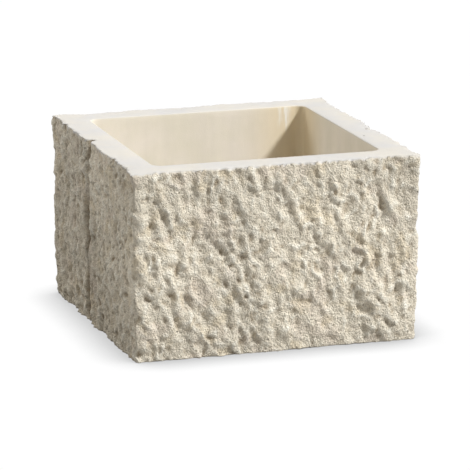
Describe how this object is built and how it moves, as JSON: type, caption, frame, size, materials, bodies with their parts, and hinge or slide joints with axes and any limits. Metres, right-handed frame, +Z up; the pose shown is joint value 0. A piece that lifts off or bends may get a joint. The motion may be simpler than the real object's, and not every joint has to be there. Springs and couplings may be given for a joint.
{
  "type": "pillar block",
  "caption": "Hollow square block for stacked garden pillars, with hammer-dressed faces like split stone, an open upright cavity and upright false joints in its side faces.",
  "frame": {"origin": "centre of the footprint, on the lower bed and on the cavity's axis", "axes": "+Z up along the cavity, +Y towards the back; the unjointed dressed faces look to -Y and +Y, the jointed side faces to -X and +X"},
  "size_m": [0.3176, 0.3174, 0.2],
  "materials": {
    "cast_stone": "matte"
  },
  "bodies": {
    "root": {"pillar_block": "cast_stone"}
  },
  "joints": []
}
